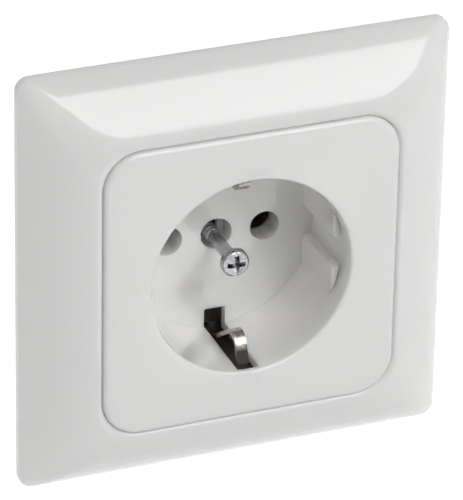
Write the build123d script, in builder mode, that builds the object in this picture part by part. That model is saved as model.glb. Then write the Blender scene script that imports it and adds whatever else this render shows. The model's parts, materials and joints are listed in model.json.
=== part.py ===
from build123d import *
import os
from math import asin, atan2, cos, hypot, radians, sin, sqrt, tan

# Flush wall socket with side earth clips: a moulded frame and centre cover in front,
# and a contact base on a steel support bridge behind them.
# Sizes are in millimetres. X points right, Y into the wall and Z up.
# The origin is the centre of the cover frame on the wall surface.

# Cover frame
frame_width = 82.0
frame_corner_radius = 2.6
frame_edge_height = 1.5
frame_height = 9.65
frame_crown_radius = 20.0
frame_wall = 2.0
frame_ledge_width = 2.0
frame_ledge_thickness = 1.8
frame_collar_wall = 1.5
frame_lip_radius = 1.2
crown_sections = 6

# Centre cover
cover_width = 56.3
cover_corner_radius = 7.3
cover_height = 11.05
cover_edge_radius = 1.0
cover_plate = 2.4
cover_skirt = 1.8
cover_skirt_depth = 1.0
cover_groove = 0.06
cover_rib_count = 8
cover_rib_thickness = 1.2
cover_rib_height = 4.0

# Well that takes the plug
well_radius = 19.25
well_depth = 17.9
well_draft = 0.8
well_wall = 1.6
well_floor = 2.0
well_rim_radius = 0.45

# Guide blocks on the left and right of the well
guide_offset = 17.0
guide_draft = 0.6
guide_height = 13.9
guide_groove = 6.2
guide_edge_radius = 0.5
guide_relief_width = 0.35
guide_relief_depth = 0.6

# Pin entries and the recess of the cover screw
pin_spacing = 19.0
pin_hole_radius = 2.87
pin_collar_radius = 4.2
pin_bore_length = 5.0
screw_recess_radius = 3.04
screw_recess_depth = 3.8
screw_collar_radius = 4.7
screw_passage_width = 3.4

# Earth slots at the top and bottom of the well
earth_slot_width = 4.2
earth_slot_inner = 15.35
earth_slot_height = 16.85
earth_slot_corner = 0.4
earth_slot_overrun = 1.0

# Cover screw, drawn part of the way out and hanging in its passage
screw_thread_radius = 1.5
screw_shank_radius = 1.27
screw_head_radius = 2.65
screw_head_height = 1.9
screw_head_rise = 8.7
screw_thread_rise = 0.7
screw_sag = 0.95
screw_droop = 1.2
screw_clearance = 0.15
screw_slot_width = 0.8
screw_slot_depth = 0.9

# Support bridge
bridge_width = 70.0
bridge_corner_radius = 5.0
bridge_thickness = 1.0
bridge_opening_gap = 1.95
bridge_opening_radius = 6.0
bridge_leg_width = 4.4
bridge_leg_centre = 16.0
bridge_leg_length = 21.5
box_screw_spacing = 60.0
box_slot_width = 4.2
box_slot_length = 7.0

# Contact base and the cover over its chambers
base_width = 42.0
base_height = 43.0
base_depth = 16.5
base_corner_chamfer = 3.0
base_back_chamfer = 1.2
base_back_wall = 4.2
contact_cover_thickness = 2.5
contact_cover_inset = 0.3
contact_cover_hole_radius = 3.2
seat_gap = 0.3
chamber_width = 9.4
chamber_height = 11.0
cage_pocket_width = 8.4
wire_hole_radius = 2.5
clip_guard_wall = 1.2
clip_guard_gap = 0.5
clip_guard_seat = 2.0

# Earth bracket
strip_thickness = 0.8
bracket_width = 7.0
bracket_shoulder = 12.5
bracket_channel_depth = 1.1
bracket_bend_radius = 1.2
clip_width = 2.2
clip_crest = 14.45
clip_crest_rise = 10.7
clip_bend_radius = 2.8
clip_foot_radius = 2.0
clip_foot_setback = 0.8
clip_fall_angle = 71.0
clip_fall_length = 3.6
bracket_thread_radius = 1.55
bracket_boss_radius = 2.6
bracket_boss_height = 1.8

# Line contacts
contact_thickness = 0.7
contact_width = 7.0
contact_throat = 4.0
contact_mouth = 6.0
contact_root = 5.0
contact_mouth_gap = 0.8
contact_throat_depth = 3.4
contact_bend_radius = 0.8
tail_width = 5.0
tail_rise = 1.9

# Terminals
cage_width = 7.8
cage_length = 7.5
cage_height = 9.5
cage_sink = 0.5
cage_wall = 1.2
cage_roof = 2.6
cage_setback = 1.6
cage_edge_radius = 0.5
wire_hole_drop = 4.8
terminal_thread_radius = 1.65
terminal_clearance = 0.1
terminal_head_radius = 3.0
terminal_head_height = 2.2
terminal_head_gap = 1.2
terminal_tip_drop = 1.9
terminal_slot_width = 0.9
terminal_slot_depth = 1.0
earth_plate_width = 8.4
earth_plate_length = 7.0
earth_plate_thickness = 1.2
earth_tail_length = 13.7
earth_screw_offset = 6.9
earth_screw_length = 7.5

# Rivets
base_rivet_radius = 1.4
base_rivet_head_radius = 2.4
base_rivet_head_height = 0.8
base_rivet_offset = 10.0
bridge_rivet_radius = 1.2
bridge_rivet_head_radius = 2.0
bridge_rivet_head_height = 0.7
bridge_rivet_inset = 3.0
bridge_rivet_length = 4.0
rivet_clearance = 0.1

# Spreading claws and their screws
claw_clearance = 1.4
claw_axis_gap = 3.6
claw_flange = 3.6
claw_thickness = 1.2
claw_width = 8.0
claw_front = 3.0
claw_back = 20.0
claw_bend_radius = 1.2
claw_notch_width = 2.4
claw_notch_depth = 1.4
claw_screw_radius = 1.5
claw_screw_clearance = 0.1
claw_screw_tip = 22.5
claw_head_radius = 2.5
claw_head_height = 1.8
claw_head_gap = 0.9
claw_hole_radius = 2.0
claw_slot_width = 0.8
claw_slot_depth = 0.9

# Places that follow from the sizes above
frame_opening = cover_width + 2 * cover_groove
opening_corner_radius = cover_corner_radius + cover_groove
ledge_height = cover_height - cover_plate - cover_skirt_depth
floor_depth = well_depth - cover_height
floor_back = floor_depth + well_floor
well_floor_radius = well_radius - well_depth * tan(radians(well_draft))
well_outer_radius = well_radius + well_wall
collar_end = floor_depth + pin_bore_length
cover_plate_front = collar_end + seat_gap
base_front = cover_plate_front + contact_cover_thickness
base_back = base_front + base_depth
chamber_floor = base_back - base_back_wall
pin_offset = pin_spacing / 2
crossbar_depth = base_front - strip_thickness / 2
crossbar_front = crossbar_depth - strip_thickness / 2
earth_screw_depth = crossbar_depth + earth_screw_offset
leg_height = base_height / 2 + seat_gap + strip_thickness / 2
clip_guard_half = bracket_width / 2 + clip_guard_gap + clip_guard_wall
clip_guard_foot = max(base_height / 2, well_outer_radius + seat_gap)
clip_guard_inner = max(leg_height + strip_thickness / 2, well_outer_radius) + clip_guard_gap
clip_guard_outer = clip_guard_inner + clip_guard_wall
clip_guard_front = frame_ledge_thickness - ledge_height + clip_guard_gap
clip_guard_end = base_front + clip_guard_seat
bridge_opening = 2 * (well_outer_radius + bridge_opening_gap)
bridge_leg_inner = base_height / 2 + seat_gap
bridge_leg_outer = bridge_leg_inner + bridge_thickness
bridge_rivet_depth = bridge_leg_length - bridge_rivet_inset
cage_top = base_height / 2 - cage_sink
cage_bottom = cage_top - cage_height
wire_hole_height = cage_top - wire_hole_drop
tail_height = cage_bottom + tail_rise
claw_web_offset = max(base_width / 2, well_outer_radius) + claw_clearance
claw_axis_offset = claw_web_offset + claw_axis_gap
claw_reach = claw_axis_offset + claw_flange
screw_tip_depth = crossbar_front - seat_gap
earth_slot_depth = well_outer_radius + earth_slot_overrun
nodes = {}


def facing(depth):
    """Plane at a depth behind the wall surface that looks out into the room."""
    return Plane(origin=(0, depth, 0), x_dir=(1, 0, 0), z_dir=(0, -1, 0))


def level(height):
    """Horizontal plane at a height above the socket's centre line."""
    return Plane(origin=(0, 0, height), x_dir=(1, 0, 0), z_dir=(0, 0, 1))


def crown_arc(wall):
    """Half width, height and blend of each section along the frame's arched slope.

    The arc runs from the top of the outer edge over the rim of the opening, and a
    wall thickness moves it towards the arc's centre.
    """
    edge = (frame_width / 2, frame_edge_height)
    rim = (frame_opening / 2, frame_height)
    run = edge[0] - rim[0]
    rise = rim[1] - edge[1]
    chord = hypot(run, rise)
    sagitta_arm = sqrt(frame_crown_radius**2 - (chord / 2) ** 2)
    centre_x = (edge[0] + rim[0]) / 2 - sagitta_arm * rise / chord
    centre_h = (edge[1] + rim[1]) / 2 - sagitta_arm * run / chord
    first = atan2(edge[1] - centre_h, edge[0] - centre_x)
    last = atan2(rim[1] - centre_h, rim[0] - centre_x)
    overrun = (last - first) / crown_sections
    radius = frame_crown_radius - wall
    sections = []
    for index in range(crown_sections + 2):
        turn = first + index * overrun
        blend = min(index / crown_sections, 1.0)
        sections.append((centre_x + radius * cos(turn), centre_h + radius * sin(turn), blend))
    return sections


def crown_corner(blend, wall):
    """Corner radius that grows from the outer edge of the frame to its opening."""
    grown = frame_corner_radius + blend * (opening_corner_radius - frame_corner_radius)
    return grown - wall * (1 - blend)


def slotted_screw(axis_plane, shank_radius, tip, seat, head_radius, head_height, slot_width, slot_depth):
    """Slotted screw along the normal of a plane, from its tip to the top of its head."""
    with BuildPart() as screw:
        with BuildSketch(axis_plane.offset(tip)):
            Circle(shank_radius)
        extrude(amount=seat - tip)
        with BuildSketch(axis_plane.offset(seat)):
            Circle(head_radius)
        extrude(amount=head_height)
        chamfer(screw.edges().filter_by(GeomType.CIRCLE).sort_by(SortBy.RADIUS)[-1], head_height / 4)
        with BuildSketch(axis_plane.offset(seat + head_height)):
            Rectangle(2 * head_radius, slot_width)
        extrude(amount=-slot_depth, mode=Mode.SUBTRACT)
    return screw.part


# Cover frame: an arched shell with a ledge round its opening for the centre cover
with BuildPart() as cover_frame:
    with BuildSketch(facing(0)):
        RectangleRounded(frame_width, frame_width, frame_corner_radius)
    extrude(amount=frame_edge_height)
    for half, height, blend in crown_arc(0):
        with BuildSketch(facing(-height)):
            RectangleRounded(2 * half, 2 * half, crown_corner(blend, 0))
    loft()
    cavity = crown_arc(frame_wall)
    with BuildSketch(facing(0)):
        RectangleRounded(2 * cavity[0][0], 2 * cavity[0][0], crown_corner(0, frame_wall))
    extrude(amount=cavity[0][1], mode=Mode.SUBTRACT)
    for half, height, blend in cavity:
        with BuildSketch(facing(-height)):
            RectangleRounded(2 * half, 2 * half, crown_corner(blend, frame_wall))
    loft(mode=Mode.SUBTRACT)
    with BuildSketch(facing(-(ledge_height - frame_ledge_thickness))):
        collar = frame_opening + 2 * frame_collar_wall
        RectangleRounded(collar, collar, opening_corner_radius + frame_collar_wall)
    extrude(amount=frame_ledge_thickness + frame_wall / 2)
    with BuildSketch(facing(0)):
        ledge = frame_opening - 2 * frame_ledge_width
        RectangleRounded(ledge, ledge, opening_corner_radius - frame_ledge_width)
    extrude(amount=2 * frame_height, mode=Mode.SUBTRACT)
    with BuildSketch(facing(-ledge_height)):
        RectangleRounded(frame_opening, frame_opening, opening_corner_radius)
    extrude(amount=2 * frame_height, mode=Mode.SUBTRACT)
    lip_top = -frame_height - frame_lip_radius
    lip_foot = -frame_height + frame_lip_radius
    fillet(cover_frame.edges().filter_by_position(Axis.Y, lip_top, lip_foot), frame_lip_radius)
nodes["cover_frame"] = cover_frame.part

# Guide blocks: chords of the well, tapered forwards, split by a central groove and
# relieved where their ends meet the wall
with BuildPart() as guides:
    with BuildSketch(facing(floor_depth)):
        Circle(well_radius + well_wall / 2)
    extrude(amount=guide_height)
    guide_front = guide_offset + guide_height * tan(radians(guide_draft))
    with BuildSketch(Plane.XY):
        with BuildLine():
            Polyline(
                (-guide_offset, floor_depth),
                (guide_offset, floor_depth),
                (guide_front, floor_depth - guide_height),
                (-guide_front, floor_depth - guide_height),
                close=True,
            )
        make_face()
    extrude(amount=well_outer_radius, both=True, mode=Mode.SUBTRACT)
    with BuildSketch(facing(floor_depth)):
        Rectangle(2 * well_outer_radius, guide_groove)
    extrude(amount=guide_height, mode=Mode.SUBTRACT)
    guide_reach = guide_front + guide_edge_radius
    open_edges = guides.edges().filter_by_position(Axis.X, -guide_reach, guide_reach)
    fillet(open_edges.group_by(Axis.Y)[0], guide_edge_radius)
    with BuildSketch(facing(floor_depth - guide_height + guide_relief_depth)):
        Circle(well_outer_radius)
        Circle(well_radius - guide_relief_width, mode=Mode.SUBTRACT)
    extrude(amount=guide_relief_depth, mode=Mode.SUBTRACT)

# Centre cover: the face plate, the well with its guides, and the entries in its floor
with BuildPart() as socket_cover:
    with BuildSketch(facing(-ledge_height)):
        RectangleRounded(cover_width, cover_width, cover_corner_radius)
    extrude(amount=cover_height - ledge_height)
    fillet(socket_cover.faces().sort_by(Axis.Y)[0].edges(), cover_edge_radius)
    with BuildSketch(facing(-ledge_height)):
        inside = cover_width - 2 * cover_skirt
        RectangleRounded(inside, inside, cover_corner_radius - cover_skirt)
    extrude(amount=cover_height - cover_plate - ledge_height, mode=Mode.SUBTRACT)
    with BuildSketch(facing(floor_back)):
        Circle(well_outer_radius)
    extrude(amount=floor_back + cover_height - cover_plate)
    with BuildSketch(facing(cover_plate - cover_height)):
        with PolarLocations(0, cover_rib_count, start_angle=180 / cover_rib_count):
            with Locations((inside / 4 + well_radius / 2, 0)):
                Rectangle(inside / 2 - well_radius, cover_rib_thickness)
    extrude(amount=-cover_rib_height)
    with BuildSketch(facing(floor_depth)):
        Circle(well_floor_radius)
    extrude(amount=well_depth, taper=-well_draft, mode=Mode.SUBTRACT)
    rim = socket_cover.edges().filter_by(GeomType.CIRCLE).group_by(Axis.Y)[0].sort_by(SortBy.RADIUS)[-1]
    fillet(rim, well_rim_radius)
    add(guides.part)
    with BuildSketch(facing(floor_back)):
        with GridLocations(pin_spacing, 0, 2, 1):
            Circle(pin_collar_radius)
        Circle(screw_collar_radius)
    extrude(amount=floor_back - collar_end)
    with BuildSketch(facing(floor_depth)):
        with GridLocations(pin_spacing, 0, 2, 1):
            Circle(pin_hole_radius)
    extrude(amount=-pin_bore_length, mode=Mode.SUBTRACT)
    with BuildSketch(facing(floor_depth)):
        Circle(screw_recess_radius)
    extrude(amount=-screw_recess_depth, mode=Mode.SUBTRACT)
    with BuildSketch(facing(floor_depth)):
        passage = 2 * (screw_sag + screw_thread_radius + screw_clearance)
        SlotOverall(passage, screw_passage_width, rotation=90)
    extrude(amount=-pin_bore_length, mode=Mode.SUBTRACT)
    with BuildSketch(facing(floor_back)):
        slot_middle = (earth_slot_inner + earth_slot_depth) / 2
        with GridLocations(0, 2 * slot_middle, 1, 2):
            RectangleRounded(earth_slot_width, earth_slot_depth - earth_slot_inner, earth_slot_corner)
    extrude(amount=well_floor + earth_slot_height, mode=Mode.SUBTRACT)
nodes["socket_cover"] = socket_cover.part

# Cover screw: a pan head on a waisted shank with a short thread
screw_seat = floor_depth - screw_head_rise
screw_thread_start = floor_depth - screw_thread_rise
screw_plane = Plane(origin=(0, 0, -screw_sag), x_dir=(1, 0, 0), z_dir=(0, 0, 1))
with BuildPart() as cover_screw:
    with BuildSketch(screw_plane):
        with BuildLine():
            Polyline(
                (0, screw_seat - screw_head_height),
                (screw_head_radius, screw_seat - screw_head_height),
                (screw_head_radius, screw_seat),
                (screw_shank_radius, screw_seat),
                (screw_shank_radius, screw_thread_start),
                (screw_thread_radius, screw_thread_start),
                (screw_thread_radius, screw_tip_depth),
                (0, screw_tip_depth),
                close=True,
            )
        make_face()
    revolve(axis=Axis((0, 0, -screw_sag), (0, 1, 0)))
    head_edge = cover_screw.edges().filter_by(GeomType.CIRCLE).group_by(Axis.Y)[0]
    fillet(head_edge, screw_head_height / 3)
    with BuildSketch(facing(screw_seat - screw_head_height)):
        with Locations((0, -screw_sag)):
            Rectangle(screw_slot_width, 2 * screw_head_radius)
            Rectangle(screw_head_radius, screw_slot_width)
    extrude(amount=-screw_slot_depth, mode=Mode.SUBTRACT)
tip_axis = Axis((0, screw_tip_depth, -screw_sag), (1, 0, 0))
nodes["cover_screw"] = cover_screw.part.rotate(tip_axis, screw_droop)

# Support bridge: a pressed plate on the wall with four legs that carry the base
with BuildPart() as support_bridge:
    with BuildSketch(facing(0)):
        RectangleRounded(bridge_width, bridge_width, bridge_corner_radius)
        RectangleRounded(bridge_opening, bridge_opening, bridge_opening_radius, mode=Mode.SUBTRACT)
        notch_width = 2 * (clip_guard_half + clip_guard_gap)
        Rectangle(notch_width, 2 * (clip_guard_outer + clip_guard_gap), mode=Mode.SUBTRACT)
        tab_outer = bridge_width / 2 - bridge_corner_radius
        with GridLocations(2 * bridge_leg_centre, tab_outer + bridge_leg_inner, 2, 2):
            Rectangle(bridge_leg_width, tab_outer - bridge_leg_inner)
        with GridLocations(0, box_screw_spacing, 1, 2):
            SlotOverall(box_slot_length, box_slot_width, rotation=90, mode=Mode.SUBTRACT)
        with GridLocations(2 * claw_axis_offset, 0, 2, 1):
            Circle(claw_hole_radius, mode=Mode.SUBTRACT)
    extrude(amount=bridge_thickness)
    with BuildSketch(facing(-bridge_thickness)):
        with GridLocations(2 * bridge_leg_centre, bridge_leg_inner + bridge_leg_outer, 2, 2):
            Rectangle(bridge_leg_width, bridge_thickness)
    extrude(amount=-bridge_leg_length - bridge_thickness)
    for side in (-1, 1):
        with BuildSketch(level(side * bridge_leg_outer)):
            with GridLocations(2 * bridge_leg_centre, 0, 2, 1):
                with Locations((0, bridge_rivet_depth)):
                    Circle(bridge_rivet_radius + rivet_clearance)
        extrude(amount=-side * 2 * bridge_thickness, mode=Mode.SUBTRACT)
nodes["support_bridge"] = support_bridge.part

# Contact cover: an insulating plate over the chambers, with a channel behind it for the bracket
with BuildPart() as contact_cover:
    with BuildSketch(facing(base_front)) as plate_outline:
        Rectangle(base_width - 2 * contact_cover_inset, base_height - 2 * contact_cover_inset)
        chamfer(plate_outline.vertices(), base_corner_chamfer)
        with GridLocations(pin_spacing, 0, 2, 1):
            Circle(contact_cover_hole_radius, mode=Mode.SUBTRACT)
        Circle(bracket_boss_radius + seat_gap, mode=Mode.SUBTRACT)
        with GridLocations(0, 2 * base_rivet_offset, 1, 2):
            Circle(base_rivet_radius + rivet_clearance, mode=Mode.SUBTRACT)
    extrude(amount=contact_cover_thickness)
    with BuildSketch(facing(base_front)):
        Rectangle(bracket_width + 2 * seat_gap, base_height)
    extrude(amount=bracket_channel_depth, mode=Mode.SUBTRACT)
nodes["contact_cover"] = contact_cover.part

# Contact base: a moulded block with open chambers for the contacts and terminals, and a
# guard round each earth clip
with BuildPart() as contact_base:
    with BuildSketch(facing(base_back)) as base_outline:
        Rectangle(base_width, base_height)
        chamfer(base_outline.vertices(), base_corner_chamfer)
    extrude(amount=base_depth)
    chamfer(contact_base.faces().sort_by(Axis.Y)[-1].edges(), base_back_chamfer)
    for front, back, foot in (
        (base_front, clip_guard_end, base_height / 2),
        (clip_guard_front, base_front, clip_guard_foot),
    ):
        with BuildSketch(facing(back)):
            with GridLocations(0, clip_guard_outer + foot, 1, 2):
                Rectangle(2 * clip_guard_half, clip_guard_outer - foot)
            with GridLocations(0, clip_guard_inner + foot, 1, 2):
                channel_width = 2 * (clip_guard_half - clip_guard_wall)
                Rectangle(channel_width, clip_guard_inner - foot, mode=Mode.SUBTRACT)
        extrude(amount=back - front)
    with BuildSketch(facing(base_front)):
        with GridLocations(pin_spacing, 0, 2, 1):
            Rectangle(chamber_width, chamber_height)
            with Locations((0, base_height / 4)):
                Rectangle(cage_pocket_width, base_height / 2)
    extrude(amount=base_front - chamber_floor, mode=Mode.SUBTRACT)
    with BuildSketch(facing(chamber_floor)):
        with GridLocations(pin_spacing, 0, 2, 1):
            with Locations((0, wire_hole_height)):
                Circle(wire_hole_radius)
    extrude(amount=-base_back_wall, mode=Mode.SUBTRACT)
    with BuildSketch(facing(base_front)):
        Circle(bracket_boss_radius + seat_gap)
    extrude(amount=base_front - chamber_floor, mode=Mode.SUBTRACT)
    with BuildSketch(facing(base_front)):
        with GridLocations(0, 2 * base_rivet_offset, 1, 2):
            Circle(base_rivet_radius + rivet_clearance)
    extrude(amount=-base_depth, mode=Mode.SUBTRACT)
    with BuildSketch(level(base_height / 2)):
        with Locations((0, earth_screw_depth)):
            Circle(terminal_thread_radius + seat_gap)
    extrude(amount=-earth_screw_length, mode=Mode.SUBTRACT)
    for side in (-1, 1):
        with BuildSketch(level(side * base_height / 2)):
            with GridLocations(2 * bridge_leg_centre, 0, 2, 1):
                with Locations((0, bridge_rivet_depth)):
                    Circle(bridge_rivet_radius + rivet_clearance)
        extrude(amount=-side * bridge_rivet_length, mode=Mode.SUBTRACT)
nodes["contact_base"] = contact_base.part

# Earth bracket: one formed strip with a spring clip at each end and a terminal tail
clip_arm = clip_bend_radius - strip_thickness / 2
bend_depth = floor_depth - clip_crest_rise
bend_height = clip_crest + clip_bend_radius
foot_depth = floor_depth + clip_foot_setback
foot_run = foot_depth - bend_depth
foot_drop = leg_height - bend_height
rise = atan2(foot_drop, foot_run) + asin(clip_arm / hypot(foot_run, foot_drop))
fall = radians(clip_fall_angle)
half_turn = (rise + fall) / 2
lean = (fall - rise) / 2
apex_reach = clip_arm / cos(half_turn)
apex_depth = bend_depth - apex_reach * sin(lean)
apex_height = bend_height - apex_reach * cos(lean)
tip_depth = apex_depth - (clip_arm * tan(half_turn) + clip_fall_length) * cos(fall)
tip_height = apex_height + (clip_arm * tan(half_turn) + clip_fall_length) * sin(fall)
tail_root = crossbar_depth - bracket_bend_radius
tail_end = crossbar_depth + earth_tail_length
with BuildPart() as earth_bracket:
    with BuildSketch(Plane.YZ):
        with BuildLine():
            FilletPolyline(
                (crossbar_depth, 0),
                (crossbar_depth, -leg_height),
                (foot_depth, -leg_height),
                (apex_depth, -apex_height),
                (tip_depth, -tip_height),
                radius=[bracket_bend_radius, clip_foot_radius, clip_arm],
            )
        trace(line_width=strip_thickness)
    extrude(amount=clip_width / 2, both=True)
    mirror(about=Plane.XY)
    with BuildSketch(facing(crossbar_front)):
        Rectangle(bracket_width, 2 * bracket_shoulder)
    extrude(amount=-strip_thickness)
    with BuildSketch(level(leg_height - strip_thickness / 2)):
        for width, start in ((clip_width, tail_root), (bracket_width, base_front)):
            with Locations((0, (start + tail_end) / 2)):
                Rectangle(width, tail_end - start)
    extrude(amount=strip_thickness)
    with BuildSketch(facing(crossbar_depth)):
        Circle(bracket_boss_radius)
    extrude(amount=-strip_thickness / 2 - bracket_boss_height)
    with BuildSketch(facing(crossbar_front)):
        Circle(bracket_thread_radius)
        with GridLocations(0, 2 * base_rivet_offset, 1, 2):
            Circle(base_rivet_radius + rivet_clearance)
    extrude(amount=-strip_thickness - bracket_boss_height, mode=Mode.SUBTRACT)
    with BuildSketch(level(leg_height)):
        with Locations((0, earth_screw_depth)):
            Circle(terminal_thread_radius + terminal_clearance)
    extrude(amount=strip_thickness, both=True, mode=Mode.SUBTRACT)
nodes["earth_bracket"] = earth_bracket.part

# Earth terminal: a clamp plate held on the bracket's tail by a screw
earth_plate_base = leg_height + strip_thickness / 2
with BuildPart() as earth_clamp:
    with BuildSketch(level(earth_plate_base)):
        with Locations((0, earth_screw_depth)):
            Rectangle(earth_plate_width, earth_plate_length)
            Circle(terminal_thread_radius + seat_gap, mode=Mode.SUBTRACT)
    extrude(amount=earth_plate_thickness)
    fillet(earth_clamp.edges().filter_by(Axis.Z), cage_edge_radius)
nodes["earth_clamp"] = earth_clamp.part
earth_screw_seat = earth_plate_base + earth_plate_thickness
nodes["earth_terminal_screw"] = slotted_screw(
    Plane(origin=(0, earth_screw_depth, 0), x_dir=(1, 0, 0), z_dir=(0, 0, 1)),
    terminal_thread_radius,
    earth_screw_seat - earth_screw_length,
    earth_screw_seat,
    terminal_head_radius,
    terminal_head_height,
    terminal_slot_width,
    terminal_slot_depth,
)

# Line contacts: a sprung fork behind each pin entry with a tail into its terminal cage
fork_mouth = base_front + contact_mouth_gap
fork_throat = fork_mouth + contact_throat_depth
fork_back = chamber_floor - contact_thickness / 2
cage_front = base_front + cage_setback
screw_depth = cage_front + cage_length / 2
for side, pole in ((-1, "live"), (1, "neutral")):
    centre = side * pin_offset
    with BuildPart() as contact:
        with BuildSketch(Plane.XY):
            with BuildLine():
                mouth = (contact_mouth + contact_thickness) / 2
                throat = (contact_throat + contact_thickness) / 2
                root = (contact_root + contact_thickness) / 2
                FilletPolyline(
                    (centre - mouth, fork_mouth),
                    (centre - throat, fork_throat),
                    (centre - root, fork_back),
                    (centre + root, fork_back),
                    (centre + throat, fork_throat),
                    (centre + mouth, fork_mouth),
                    radius=contact_bend_radius,
                )
            trace(line_width=contact_thickness)
        extrude(amount=contact_width / 2, both=True)
        with BuildSketch(Plane.YZ.offset(centre)):
            with BuildLine():
                FilletPolyline(
                    (fork_back, 0),
                    (fork_back, tail_height),
                    (cage_front, tail_height),
                    radius=contact_bend_radius,
                )
            trace(line_width=contact_thickness)
        extrude(amount=tail_width / 2, both=True)
    nodes[f"{pole}_contact"] = contact.part

    with BuildPart() as cage:
        with BuildSketch(facing(cage_front)):
            with Locations((centre, (cage_bottom + cage_top) / 2)):
                Rectangle(cage_width, cage_top - cage_bottom)
        extrude(amount=-cage_length)
        fillet(cage.edges().filter_by(Axis.Y), cage_edge_radius)
        window_bottom = cage_bottom + cage_wall
        window_top = cage_top - cage_roof
        with BuildSketch(facing(cage_front)):
            with Locations((centre, (window_bottom + window_top) / 2)):
                Rectangle(cage_width - 2 * cage_wall, window_top - window_bottom)
        extrude(amount=-cage_length, mode=Mode.SUBTRACT)
        with BuildSketch(level(cage_top)):
            with Locations((centre, screw_depth)):
                Circle(terminal_thread_radius + terminal_clearance)
        extrude(amount=-cage_roof, mode=Mode.SUBTRACT)
    nodes[f"{pole}_terminal"] = cage.part

    nodes[f"{pole}_terminal_screw"] = slotted_screw(
        Plane(origin=(centre, screw_depth, 0), x_dir=(1, 0, 0), z_dir=(0, 0, 1)),
        terminal_thread_radius,
        window_top - terminal_tip_drop,
        cage_top + terminal_head_gap,
        terminal_head_radius,
        terminal_head_height,
        terminal_slot_width,
        terminal_slot_depth,
    )

# Rivets that hold the contact cover and the bracket on the base
with BuildPart() as base_rivets:
    for depth, radius, length in (
        (cover_plate_front, base_rivet_head_radius, base_rivet_head_height),
        (base_back, base_rivet_radius, base_back - cover_plate_front),
        (base_back + base_rivet_head_height, base_rivet_head_radius, base_rivet_head_height),
    ):
        with BuildSketch(facing(depth)):
            with GridLocations(0, 2 * base_rivet_offset, 1, 2):
                Circle(radius)
        extrude(amount=length)
nodes["base_rivets"] = base_rivets.part

# Rivets that hold the legs of the bridge on the base
with BuildPart() as bridge_rivets:
    rivet_end = base_height / 2 - bridge_rivet_length
    for side in (-1, 1):
        for height, radius, length in (
            (bridge_leg_outer, bridge_rivet_head_radius, bridge_rivet_head_height),
            (rivet_end, bridge_rivet_radius, bridge_leg_outer - rivet_end),
        ):
            with BuildSketch(level(side * height)):
                with GridLocations(2 * bridge_leg_centre, 0, 2, 1):
                    with Locations((0, bridge_rivet_depth)):
                        Circle(radius)
            extrude(amount=side * length)
nodes["bridge_rivets"] = bridge_rivets.part

# Spreading claws: a formed channel on each side that swings out on its screw
claw_web = claw_web_offset + claw_thickness / 2
with BuildPart() as claw_right:
    with BuildSketch(Plane.XY):
        with BuildLine():
            FilletPolyline(
                (claw_reach, claw_front + claw_thickness / 2),
                (claw_web, claw_front + claw_thickness / 2),
                (claw_web, claw_back - claw_thickness / 2),
                (claw_reach, claw_back - claw_thickness / 2),
                radius=claw_bend_radius,
            )
        trace(line_width=claw_thickness)
    extrude(amount=claw_width / 2, both=True)
    with BuildSketch(facing(claw_back)):
        with BuildLine():
            Polyline(
                (claw_reach, claw_notch_width / 2),
                (claw_reach - claw_notch_depth, 0),
                (claw_reach, -claw_notch_width / 2),
                close=True,
            )
        make_face()
        with Locations((claw_axis_offset, 0)):
            Circle(claw_screw_radius + claw_screw_clearance)
    extrude(amount=claw_thickness, mode=Mode.SUBTRACT)
    with BuildSketch(facing(claw_front)):
        with Locations((claw_axis_offset, 0)):
            Circle(claw_screw_radius + claw_screw_clearance)
    extrude(amount=-claw_thickness, mode=Mode.SUBTRACT)
nodes["claw_right"] = claw_right.part

with BuildPart() as claw_left:
    mirror(claw_right.part, about=Plane.YZ)
nodes["claw_left"] = claw_left.part

for side, name in ((-1, "left"), (1, "right")):
    nodes[f"claw_screw_{name}"] = slotted_screw(
        Plane(origin=(side * claw_axis_offset, 0, 0), x_dir=(1, 0, 0), z_dir=(0, -1, 0)),
        claw_screw_radius,
        -claw_screw_tip,
        bridge_thickness + claw_head_gap,
        claw_head_radius,
        claw_head_height,
        claw_slot_width,
        claw_slot_depth,
    )

os.makedirs("parts", exist_ok=True)
for name, solid in nodes.items():
    solid.label = name
    export_step(solid, f"parts/{name}.step")
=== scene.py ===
import json
from math import atan2, cos, floor, hypot, pi, radians, sin, sqrt

import bmesh
import bpy
from mathutils import Matrix, Vector


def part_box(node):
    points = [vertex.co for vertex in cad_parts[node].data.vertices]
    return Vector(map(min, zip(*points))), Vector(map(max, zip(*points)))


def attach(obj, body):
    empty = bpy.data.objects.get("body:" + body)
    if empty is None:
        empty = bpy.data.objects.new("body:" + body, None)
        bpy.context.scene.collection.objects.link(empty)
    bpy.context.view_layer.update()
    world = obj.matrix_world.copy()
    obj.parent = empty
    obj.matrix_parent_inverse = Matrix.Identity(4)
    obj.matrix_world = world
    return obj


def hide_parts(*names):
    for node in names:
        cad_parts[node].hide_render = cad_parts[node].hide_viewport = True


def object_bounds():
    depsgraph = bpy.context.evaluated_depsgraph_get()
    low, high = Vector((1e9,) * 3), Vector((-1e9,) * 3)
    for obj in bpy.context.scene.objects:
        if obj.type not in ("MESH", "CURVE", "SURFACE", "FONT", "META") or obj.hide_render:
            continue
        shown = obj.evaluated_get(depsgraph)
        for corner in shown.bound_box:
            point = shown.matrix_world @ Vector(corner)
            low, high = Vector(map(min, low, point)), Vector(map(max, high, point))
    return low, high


# Flush wall socket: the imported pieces, dressed with moulded plastic and plated metal.
# X points right, Y into the wall and Z up. Sizes are in millimetres, and MM turns them into metres.

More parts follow.
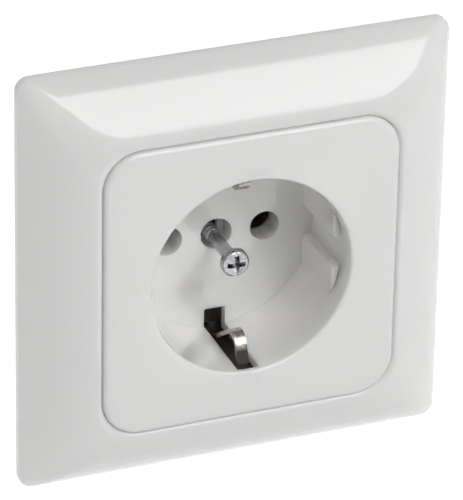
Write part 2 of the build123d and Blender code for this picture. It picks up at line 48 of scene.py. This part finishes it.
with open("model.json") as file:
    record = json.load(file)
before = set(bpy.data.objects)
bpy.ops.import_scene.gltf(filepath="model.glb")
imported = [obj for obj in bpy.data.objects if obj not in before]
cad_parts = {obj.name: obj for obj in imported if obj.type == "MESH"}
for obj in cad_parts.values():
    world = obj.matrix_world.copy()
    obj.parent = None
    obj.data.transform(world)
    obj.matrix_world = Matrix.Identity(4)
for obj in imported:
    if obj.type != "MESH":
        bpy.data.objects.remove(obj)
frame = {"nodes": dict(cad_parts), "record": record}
cad_low, cad_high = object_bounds()

MM = 0.001
UNIT_RANGE = (0.0, 1.0)

# Camera: the photograph's viewpoint, for a picture 463 wide and 500 high, with its angles in degrees
IMAGE_HEIGHT_PX = 500
FOCAL_LENGTH_PX = 4372.7
SENSOR_WIDTH_MM = 36.0
CAMERA_PLACE = Vector((-262.18, -648.24, 367.76)) * MM
CAMERA_TURN = 22.045
CAMERA_TILT = 27.7405
CAMERA_ROLL = 1.138
CAMERA_REACH = 20000 * MM

# Stage and even light
FLOOR_DROP = 200 * MM
FLOOR_SIZE = 6000 * MM
FLOOR_COLOUR = (0.9, 0.9, 0.9, 1.0)
FLOOR_ROUGHNESS = 0.8
FLOOR_GLOW = 0.7
AMBIENT_COLOUR = (0.97, 0.98, 1.0, 1.0)
AMBIENT_STRENGTH = 0.1
WHITE = (1.0, 1.0, 1.0, 1.0)

# Softboxes: name, place in metres, width and height, power in watts, seen in reflections
LAMPS = (
    ("key", (0.265, -0.637, 0.578), (0.66, 0.80), 3.28, True),
    ("fill", (0.3, -0.65, 0.58), (0.25, 0.25), 1.6, False),
    ("left_edge", (-1.0, 0.05, 0.1), (0.3, 0.3), 2.0, False),
    ("left_front", (-0.6, -0.95, 0.3), (0.7, 0.6), 0.25, False),
    ("right_front", (0.7, -0.75, 0.15), (0.3, 0.3), 0.55, False),
    ("below", (0.0, 0.08, -0.22), (0.6, 0.2), 0.3, False),
    ("behind", (0.25, 1.0, 0.5), (0.8, 0.8), 3.0, False),
)

# Light inside the plastic and its shine
PLASTIC_GLOW_RADIUS = (1.0, 0.95, 0.9)
PLASTIC_GLOW_SCALE = 2.5 * MM
PLASTIC_SHINE = 0.95

# Noise of the finishes: scale per metre and detail
PLASTIC_CLOUDS = (90.0, 3.0)
PLASTIC_GRAIN = (2500.0, 2.0)
METAL_CLOUDS = (400.0, 4.0)
METAL_SPOTS = (1500.0, 3.0)
METAL_SCRATCHES = (3000.0, 3.0)

# Noise values of the dullest and the brightest metal, strength of its scratches and depth of all grain
SPOT_RANGE = (0.3, 0.6)
SCRATCH_STRENGTH = 0.1
GRAIN_DEPTH = 0.02 * MM

# Painted shade on the earth clips, in place of dark reflections: heights where their front ends are painted
# fully dark and where their crests keep the bright colour, depths of their front and rear legs (the rear
# legs are not darkened), and how far a face has to look sideways to count as a sheared edge, which is not
# darkened either
CLIP_PAINTED_SHADE_HEIGHT = 17.3
CLIP_PAINTED_LIGHT_HEIGHT = 16.3
CLIP_FRONT = -3.0
CLIP_REAR = -2.0
SHEARED_EDGE_RANGE = (0.6, 0.9)

# Cover frame
FRAME_CORNER = 2.6
FRAME_EDGE_HEIGHT = 1.5
FRAME_EDGE_ROUND = 0.4
FRAME_RIM_HEIGHT = 10.95
FRAME_CROWN = 20.0
FRAME_WALL = 2.0
FRAME_LIP_ROUND = 0.9
FRAME_COLLAR = 1.5
FRAME_CREASE = 25.0
LEDGE_WIDTH = 2.0
LEDGE_FRONT = 7.65
LEDGE_BACK = 5.85
COVER_CORNER = 7.3
COVER_GAP = 0.02
CORNER_STEPS = 24
SIDE_STEPS = 6
CROWN_STEPS = 32
ROUND_STEPS = 10

# Cover screw
SCREW_HEAD_HEIGHT = 1.9
SCREW_HEAD_DOME = 0.35
SCREW_HEAD_ROUND = 0.75
SCREW_SHANK = 1.27
SCREW_LENGTH = 17.3
SCREW_SAG = 0.95
SCREW_DROOP = 1.2
SCREW_CREASE = 35.0
SCREW_TURN_STEPS = 64

# Thread of the cover screw: a steepness above 1 leaves flat crests, and the painted light scale sets how
# bright the crests are painted, with painted shade between the threads
THREAD_LENGTH = 6.5
THREAD_ROOT = 1.1
THREAD_CREST = 1.5
THREAD_PITCH = 1.1
THREAD_RUN_OUT = 0.5
THREAD_STEEPNESS = 1.3
THREAD_ROWS_PER_PITCH = 20
THREAD_PAINTED_LIGHT = 2.0

# Cross and slot in the head of the cover screw: sizes at the top and at the bottom of each recess, the
# shares of its depth where its cutter starts and ends, the painted light left inside, which paints shade
# into the recess, and how far down that starts
CROSS_WIDTHS = (1.0, 0.5)
CROSS_LENGTHS = (4.2, 1.4)
CROSS_DEPTH = 1.4
SLOT_WIDTHS = (0.65, 0.6)
SLOT_LENGTHS = (7.95, 7.95)
SLOT_DEPTH = 0.6
CUTTER_SHARES = (-0.5, 1.0)
RECESS_PAINTED_LIGHT = 0.6
RECESS_EDGE = 0.12


def new_material(name):
    """Node material, its node tree and its main shader."""
    material = bpy.data.materials.new(name)
    material.use_nodes = True
    tree = material.node_tree
    return material, tree, tree.nodes["Principled BSDF"]


def add_noise(tree, scale, detail):
    """Noise value on the object's own coordinates."""
    coordinates = tree.nodes.new("ShaderNodeTexCoord")
    noise = tree.nodes.new("ShaderNodeTexNoise")
    noise.inputs["Scale"].default_value = scale
    noise.inputs["Detail"].default_value = detail
    tree.links.new(coordinates.outputs["Object"], noise.inputs["Vector"])
    return noise.outputs["Fac"]


def add_range(tree, value, source, result):
    """Value mapped from a source range to a result range, and kept inside it."""
    mapped = tree.nodes.new("ShaderNodeMapRange")
    limits = zip(("From Min", "From Max", "To Min", "To Max"), (*source, *result))
    for name, limit in limits:
        mapped.inputs[name].default_value = limit
    tree.links.new(value, mapped.inputs["Value"])
    return mapped.outputs["Result"]


def add_math(tree, operation, first, second=None):
    """Result of an operation on one or two values."""
    node = tree.nodes.new("ShaderNodeMath")
    node.operation = operation
    tree.links.new(first, node.inputs[0])
    if second is not None:
        tree.links.new(second, node.inputs[1])
    return node.outputs["Value"]


def add_axis(tree, source, axis):
    """One axis of the object's own coordinates or normals."""
    coordinates = tree.nodes.new("ShaderNodeTexCoord")
    split = tree.nodes.new("ShaderNodeSeparateXYZ")
    tree.links.new(coordinates.outputs[source], split.inputs["Vector"])
    return split.outputs[axis]


def add_finish(tree, shader, roughness, spread, clouds, grain, strength):
    """Cloudy roughness and a fine bump."""
    gloss = add_range(tree, add_noise(tree, *clouds), UNIT_RANGE, (roughness - spread, roughness + spread))
    tree.links.new(gloss, shader.inputs["Roughness"])
    bump = tree.nodes.new("ShaderNodeBump")
    bump.inputs["Strength"].default_value = strength
    bump.inputs["Distance"].default_value = GRAIN_DEPTH
    tree.links.new(add_noise(tree, *grain), bump.inputs["Height"])
    tree.links.new(bump.outputs["Normal"], shader.inputs["Normal"])


def plastic(name, colour, roughness, spread, grain, ior, glow):
    """Moulded plastic with a faint uneven gloss, a fine mould grain and some light inside it."""
    material, tree, shader = new_material(name)
    shader.inputs["Base Color"].default_value = (*colour, 1.0)
    shader.inputs["IOR"].default_value = ior
    shader.inputs["Specular IOR Level"].default_value = PLASTIC_SHINE
    shader.inputs["Subsurface Weight"].default_value = glow
    shader.inputs["Subsurface Radius"].default_value = PLASTIC_GLOW_RADIUS
    shader.inputs["Subsurface Scale"].default_value = PLASTIC_GLOW_SCALE
    add_finish(tree, shader, roughness, spread, PLASTIC_CLOUDS, PLASTIC_GRAIN, grain)
    return material


def metal(name, bright, dark, roughness, spread, mottle=1.0, painted_light=None):
    """Plated metal, spotted between a bright and a dark colour, with uneven gloss and fine scratches, and
    darkened further by a painted-shade mask where one is given.
    """
    material, tree, shader = new_material(name)
    shader.inputs["Metallic"].default_value = 1.0
    spots_and_shade = add_range(tree, add_noise(tree, *METAL_SPOTS), SPOT_RANGE, (1 - mottle, 1.0))
    # painted shade: the mask pulls the colour towards the dark one, in place of shade and dark reflections
    if painted_light:
        spots_and_shade = add_math(tree, "MULTIPLY", spots_and_shade, painted_light(tree))
    tone = tree.nodes.new("ShaderNodeMix")
    tone.data_type = "RGBA"
    tone.inputs["A"].default_value = (*dark, 1.0)
    tone.inputs["B"].default_value = (*bright, 1.0)
    tree.links.new(spots_and_shade, tone.inputs["Factor"])
    tree.links.new(tone.outputs["Result"], shader.inputs["Base Color"])
    add_finish(tree, shader, roughness, spread, METAL_CLOUDS, METAL_SCRATCHES, SCRATCH_STRENGTH)
    return material


def clip_painted_shade(tree):
    """Painted shade on the earth bracket: its clips are painted dark at their front ends, in place of dark
    reflections, apart from their sheared edges and rear legs.
    """
    height = add_math(tree, "ABSOLUTE", add_axis(tree, "Object", "Z"))
    crest = add_range(tree, height, (CLIP_PAINTED_SHADE_HEIGHT * MM, CLIP_PAINTED_LIGHT_HEIGHT * MM), UNIT_RANGE)
    side = add_math(tree, "ABSOLUTE", add_axis(tree, "Normal", "X"))
    edge = add_range(tree, side, SHEARED_EDGE_RANGE, UNIT_RANGE)
    rear = add_range(tree, add_axis(tree, "Object", "Y"), (CLIP_FRONT * MM, CLIP_REAR * MM), UNIT_RANGE)
    return add_math(tree, "MAXIMUM", add_math(tree, "MAXIMUM", crest, edge), rear)


def screw_painted_shade(tree):
    """Painted light and shade of the cover screw, as its faces carry it."""
    attribute = tree.nodes.new("ShaderNodeAttribute")
    attribute.attribute_name = "painted_light"
    return attribute.outputs["Fac"]


def dress(node, material):
    """Give a CAD node its material."""
    slots = frame["nodes"][node].data.materials
    slots.clear()
    slots.append(material)


def loft_rings(name, rings, closed):
    """Mesh object through rings of points, closed end to end or capped by a fan at each end."""
    shape = bmesh.new()
    loops = [[shape.verts.new(point) for point in ring] for ring in rings]
    pairs = list(zip(loops, loops[1:]))
    if closed:
        pairs.append((loops[-1], loops[0]))
    count = len(loops[0])
    for first, second in pairs:
        for index in range(count):
            after = (index + 1) % count
            shape.faces.new((first[index], first[after], second[after], second[index]))
    if not closed:
        for loop in (loops[0], loops[-1]):
            middle = shape.verts.new(sum((vert.co for vert in loop), Vector()) / count)
            for index in range(count):
                shape.faces.new((loop[index], loop[(index + 1) % count], middle))
    bmesh.ops.recalc_face_normals(shape, faces=shape.faces)
    mesh = bpy.data.meshes.new(name)
    shape.to_mesh(mesh)
    shape.free()
    piece = bpy.data.objects.new(name, mesh)
    bpy.context.scene.collection.objects.link(piece)
    return piece


def smooth(piece, crease):
    """Smooth shading up to an angle between faces, in degrees."""
    piece.data.polygons.foreach_set("use_smooth", [True] * len(piece.data.polygons))
    piece.data.set_sharp_from_angle(angle=radians(crease))


def stand_for(piece, node, material):
    """Let a piece take the place of a node of the socket's body."""
    piece.data.materials.clear()
    piece.data.materials.append(material)
    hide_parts(node)
    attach(piece, "socket")


def square_ring(half, height, corner):
    """Points round a square with round corners, at a height in front of the wall."""
    arm = half - corner
    corners = []
    for quarter in range(4):
        middle = (quarter + 0.5) * pi / 2
        centre = Vector((cos(middle), 0, sin(middle))) * arm * sqrt(2)
        for step in range(CORNER_STEPS + 1):
            turn = (quarter + step / CORNER_STEPS) * pi / 2
            corners.append(centre + Vector((cos(turn) * corner, -height, sin(turn) * corner)))
    points = []
    for index, point in enumerate(corners):
        points.append(point * MM)
        if index % (CORNER_STEPS + 1) == CORNER_STEPS:
            following = corners[(index + 1) % len(corners)]
            points.extend(point.lerp(following, step / SIDE_STEPS) * MM for step in range(1, SIDE_STEPS))
    return points


def arc_points(centre, radius, start, end, steps):
    """Points along an arc of the frame's section."""
    turns = [start + (end - start) * step / steps for step in range(steps + 1)]
    return [(centre[0] + radius * cos(turn), centre[1] + radius * sin(turn)) for turn in turns]


def build_frame_shell():
    """Arched cover frame as one smooth shell, with a rounded lip and a ledge round its opening."""
    opening_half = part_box("socket_cover")[1].x / MM + COVER_GAP
    opening_corner = COVER_CORNER + COVER_GAP
    edge = (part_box("cover_frame")[1].x / MM, FRAME_EDGE_HEIGHT)
    rim = (opening_half, FRAME_RIM_HEIGHT)
    run = edge[0] - rim[0]
    rise = rim[1] - edge[1]
    chord = hypot(run, rise)
    arm = sqrt(FRAME_CROWN**2 - chord**2 / 4)
    centre = ((edge[0] + rim[0]) / 2 - arm * rise / chord, (edge[1] + rim[1]) / 2 - arm * run / chord)
    first = atan2(edge[1] - centre[1], edge[0] - centre[0])
    last = atan2(rim[1] - centre[1], rim[0] - centre[0])

    def rounding(half, radius):
        """Centre of an arc between a wall at a half width and the crown, and its turn there."""
        height = centre[1] + sqrt((FRAME_CROWN - radius) ** 2 - (half - centre[0]) ** 2)
        return (half, height), atan2(height - centre[1], half - centre[0])

    def corner(point, wall):
        """Corner radius that grows from the outer edge to the opening."""
        turn = atan2(point[1] - centre[1], point[0] - centre[0])
        blend = min(max((turn - first) / (last - first), 0.0), 1.0)
        return FRAME_CORNER + blend * (opening_corner - FRAME_CORNER) - wall * (1 - blend)

    edge_centre, edge_turn = rounding(edge[0] - FRAME_EDGE_ROUND, FRAME_EDGE_ROUND)
    lip_centre, lip_turn = rounding(rim[0] + FRAME_LIP_ROUND, FRAME_LIP_ROUND)
    front = [(edge[0], 0.0)]
    front += arc_points(edge_centre, FRAME_EDGE_ROUND, 0, edge_turn, ROUND_STEPS)
    front += arc_points(centre, FRAME_CROWN, edge_turn, lip_turn, CROWN_STEPS)[1:]
    front += arc_points(lip_centre, FRAME_LIP_ROUND, lip_turn, pi, ROUND_STEPS)[1:]
    rings = [square_ring(half, height, corner((half, height), 0)) for half, height in front]

    ledge_half = opening_half - LEDGE_WIDTH
    collar_half = opening_half + FRAME_COLLAR
    ledge = (
        (opening_half, LEDGE_FRONT),
        (ledge_half, LEDGE_FRONT),
        (ledge_half, LEDGE_BACK),
        (collar_half, LEDGE_BACK),
    )
    rings += [square_ring(half, height, opening_corner + half - opening_half) for half, height in ledge]

    cavity_radius = FRAME_CROWN - FRAME_WALL
    cavity_turn = atan2(sqrt(cavity_radius**2 - (collar_half - centre[0]) ** 2), collar_half - centre[0])
    cavity = arc_points(centre, cavity_radius, cavity_turn, first, CROWN_STEPS)
    cavity.append((cavity[-1][0], 0.0))
    rings += [square_ring(half, height, corner((half, height), FRAME_WALL)) for half, height in cavity]
    shell = loft_rings("frame_shell", rings, True)
    smooth(shell, FRAME_CREASE)
    return shell


def thread_radius(depth, turn):
    """Radius of the screw's threaded end at a depth before its tip and a turn about its axis."""
    phase = depth / THREAD_PITCH - turn / (2 * pi)
    height = 1 - abs(2 * (phase - floor(phase)) - 1)
    start = min((THREAD_LENGTH - depth) / THREAD_RUN_OUT, 1.0)
    end = min(depth / THREAD_RUN_OUT, 1.0)
    crest = (THREAD_CREST - THREAD_ROOT) * min(start, end)
    return THREAD_ROOT + crest * min(THREAD_STEEPNESS * height, 1.0)


def tapered_cutter(widths, lengths, depth, upright):
    """Tapered block that cuts a recess into the top of the screw's head."""
    rings = []
    for share in CUTTER_SHARES:
        width = widths[0] + (widths[1] - widths[0]) * share
        length = lengths[0] + (lengths[1] - lengths[0]) * share
        across, along = (width, length) if upright else (length, width)
        level = depth * share - SCREW_LENGTH
        outline = ((-across, -along), (across, -along), (across, along), (-across, along))
        rings.append([Vector((x / 2, level, z / 2)) * MM for x, z in outline])
    return loft_rings("cutter", rings, False)


def cut(piece, cutters):
    """Subtract cutters from a piece and remove them."""
    for cutter in cutters:
        step = piece.modifiers.new("cut", "BOOLEAN")
        step.operation = "DIFFERENCE"
        step.solver = "EXACT"
        step.object = cutter
    bpy.context.view_layer.update()
    graph = bpy.context.evaluated_depsgraph_get()
    finished = bpy.data.meshes.new_from_object(piece.evaluated_get(graph))
    piece.modifiers.clear()
    piece.data = finished
    for cutter in cutters:
        bpy.data.objects.remove(cutter)


def mark_painted_shade(screw, head):
    """Give each face of the screw a painted light value: painted shade, low in the recess of its head and
    between its threads.
    """
    flat = head - SCREW_HEAD_ROUND
    painted_light = screw.data.attributes.new("painted_light", "FLOAT", "FACE")
    for face in screw.data.polygons:
        depth = -face.center.y / MM
        reach = hypot(face.center.x, face.center.z) / MM
        value = 1.0
        if depth < THREAD_LENGTH:
            value = THREAD_PAINTED_LIGHT * (reach - THREAD_ROOT) / (THREAD_CREST - THREAD_ROOT)
        elif reach < flat and depth > SCREW_LENGTH - SCREW_HEAD_HEIGHT:
            dome = SCREW_LENGTH - SCREW_HEAD_DOME * (reach / flat) ** 2
            value = RECESS_PAINTED_LIGHT if depth < dome - RECESS_EDGE else 1.0
        painted_light.data[face.index].value = value


def build_cover_screw():
    """Cover screw that hangs from its tip: a domed head with a cross and a slot, a waist and a thread."""
    low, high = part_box("cover_screw")
    head = (high.x - low.x) / 2 / MM

    def ring(depth, radius):
        """Circle about the screw's axis at a depth before its tip, with one radius or one for each turn."""
        points = []
        for step in range(SCREW_TURN_STEPS):
            turn = 2 * pi * step / SCREW_TURN_STEPS
            reach = radius(depth, turn) if callable(radius) else radius
            points.append(Vector((reach * cos(turn), -depth, reach * sin(turn))) * MM)
        return points

    seat = SCREW_LENGTH - SCREW_HEAD_HEIGHT
    flat = head - SCREW_HEAD_ROUND
    shoulder = SCREW_LENGTH - SCREW_HEAD_DOME - SCREW_HEAD_ROUND
    rings = []
    for step in range(1, ROUND_STEPS + 1):
        share = step / ROUND_STEPS
        rings.append(ring(SCREW_LENGTH - SCREW_HEAD_DOME * share**2, flat * share))
    for step in range(1, ROUND_STEPS + 1):
        turn = pi / 2 * step / ROUND_STEPS
        rings.append(ring(shoulder + SCREW_HEAD_ROUND * cos(turn), flat + SCREW_HEAD_ROUND * sin(turn)))
    rings.append(ring(seat, head))
    rings.append(ring(seat, SCREW_SHANK))
    rings.append(ring(THREAD_LENGTH, SCREW_SHANK))
    rows = int(THREAD_LENGTH / THREAD_PITCH * THREAD_ROWS_PER_PITCH)
    for row in range(rows, -1, -1):
        rings.append(ring(THREAD_LENGTH * row / rows, thread_radius))
    screw = loft_rings("cover_screw_detail", rings, False)
    cut(screw, [
        tapered_cutter(CROSS_WIDTHS, CROSS_LENGTHS, CROSS_DEPTH, True),
        tapered_cutter(CROSS_WIDTHS, CROSS_LENGTHS, CROSS_DEPTH, False),
        tapered_cutter(SLOT_WIDTHS, SLOT_LENGTHS, SLOT_DEPTH, True),
    ])
    mark_painted_shade(screw, head)
    droop = radians(SCREW_DROOP)
    tip = Vector((0, high.y - THREAD_CREST * sin(droop) * MM, -SCREW_SAG * MM))
    screw.data.transform(Matrix.Translation(tip) @ Matrix.Rotation(droop, 4, "X"))
    smooth(screw, SCREW_CREASE)
    return screw


def add_camera():
    """Camera at the photograph's viewpoint."""
    camera = bpy.data.cameras.new("camera")
    camera.sensor_width = SENSOR_WIDTH_MM
    camera.lens = FOCAL_LENGTH_PX * SENSOR_WIDTH_MM / IMAGE_HEIGHT_PX
    camera.clip_end = CAMERA_REACH
    holder = bpy.data.objects.new("camera", camera)
    turn = Matrix.Rotation(-radians(CAMERA_TURN), 4, "Z")
    tilt = Matrix.Rotation(pi / 2 - radians(CAMERA_TILT), 4, "X")
    roll = Matrix.Rotation(radians(CAMERA_ROLL), 4, "Z")
    holder.matrix_world = Matrix.Translation(CAMERA_PLACE) @ turn @ tilt @ roll
    bpy.context.scene.collection.objects.link(holder)
    bpy.context.scene.camera = holder


def seen_directly(tree):
    """Value that is 1 for camera, mirror and see-through rays, and 0 for other light."""
    path = tree.nodes.new("ShaderNodeLightPath")
    value = path.outputs["Is Camera Ray"]
    for name in ("Is Glossy Ray", "Is Transmission Ray"):
        value = add_math(tree, "MAXIMUM", value, path.outputs[name])
    return value


def add_floor(below):
    """Pale floor that keeps the object's shadow and looks white where it is lit."""
    bpy.ops.mesh.primitive_plane_add(size=FLOOR_SIZE, location=(0, 0, below - FLOOR_DROP))
    floor_plane = bpy.context.object
    floor_plane.name = "floor"
    material, tree, shader = new_material("pale_floor")
    shader.inputs["Base Color"].default_value = FLOOR_COLOUR
    shader.inputs["Roughness"].default_value = FLOOR_ROUGHNESS
    shader.inputs["Emission Color"].default_value = WHITE
    glow = add_range(tree, seen_directly(tree), UNIT_RANGE, (0.0, FLOOR_GLOW))
    tree.links.new(glow, shader.inputs["Emission Strength"])
    floor_plane.data.materials.append(material)


def add_softbox(name, place, size, power, mirrored):
    """Rectangular lamp that faces the object."""
    lamp = bpy.data.lights.new(name, "AREA")
    lamp.shape = "RECTANGLE"
    lamp.size, lamp.size_y = size
    lamp.energy = power
    holder = bpy.data.objects.new(name, lamp)
    holder.location = place
    holder.rotation_euler = (-Vector(place)).to_track_quat("-Z", "Y").to_euler()
    holder.visible_glossy = mirrored
    holder.visible_camera = False
    bpy.context.scene.collection.objects.link(holder)


def set_world():
    """White to the camera and in reflections, and a plain even light on the object."""
    world = bpy.data.worlds.new("studio")
    bpy.context.scene.world = world
    world.use_nodes = True
    tree = world.node_tree
    even = tree.nodes["Background"]
    even.inputs["Color"].default_value = AMBIENT_COLOUR
    even.inputs["Strength"].default_value = AMBIENT_STRENGTH
    white = tree.nodes.new("ShaderNodeBackground")
    white.inputs["Color"].default_value = WHITE
    mix = tree.nodes.new("ShaderNodeMixShader")
    tree.links.new(seen_directly(tree), mix.inputs["Fac"])
    tree.links.new(even.outputs["Background"], mix.inputs[1])
    tree.links.new(white.outputs["Background"], mix.inputs[2])
    tree.links.new(mix.outputs["Shader"], tree.nodes["World Output"].inputs["Surface"])


bpy.context.scene.view_settings.view_transform = "Standard"

# Materials
cover_white = plastic(
    "cover_white", (0.915, 0.905, 0.885), roughness=0.13, spread=0.02, grain=0.05, ior=1.55, glow=1.0
)
# near-black base: its colour is painted shade, so that the slots and pin holes look dark inside as a closed
# wall box would leave them
base_grey = plastic(
    "base_grey", (0.06, 0.052, 0.047), roughness=0.4, spread=0.05, grain=0.2, ior=1.5, glow=0.0
)
zinc = metal("zinc_plate", (0.48, 0.49, 0.51), (0.36, 0.37, 0.39), roughness=0.24, spread=0.05)
# screw metal: its dark colour is painted shade between the threads and in the recesses of the head
screw_zinc = metal(
    "screw_zinc", (0.52, 0.52, 0.535), (0.05, 0.058, 0.056),
    roughness=0.22, spread=0.05, mottle=0.4, painted_light=screw_painted_shade,
)
brass = metal("brass", (0.6, 0.43, 0.2), (0.48, 0.33, 0.15), roughness=0.3, spread=0.06)
nickel = metal("nickel_plate", (0.52, 0.49, 0.46), (0.38, 0.35, 0.32), roughness=0.22, spread=0.05)
# clip metal: its dark colour is painted shade on the front ends of the clips
clip_nickel = metal(
    "clip_nickel", (0.52, 0.48, 0.45), (0.06, 0.053, 0.047),
    roughness=0.2, spread=0.05, mottle=0.6, painted_light=clip_painted_shade,
)

# Pieces
slot_materials = {
    "cover_plastic": cover_white,
    "base_plastic": base_grey,
    "zinc_steel": zinc,
    "brass": brass,
    "nickel_strip": nickel,
}
for part in frame["record"]["subparts"]:
    dress(part["node"], slot_materials[part["material_slot"]])
dress("earth_bracket", clip_nickel)
stand_for(build_frame_shell(), "cover_frame", cover_white)
stand_for(build_cover_screw(), "cover_screw", screw_zinc)

# Stage, light and camera
set_world()
add_floor(cad_low.z)
for lamp_settings in LAMPS:
    add_softbox(*lamp_settings)
add_camera()
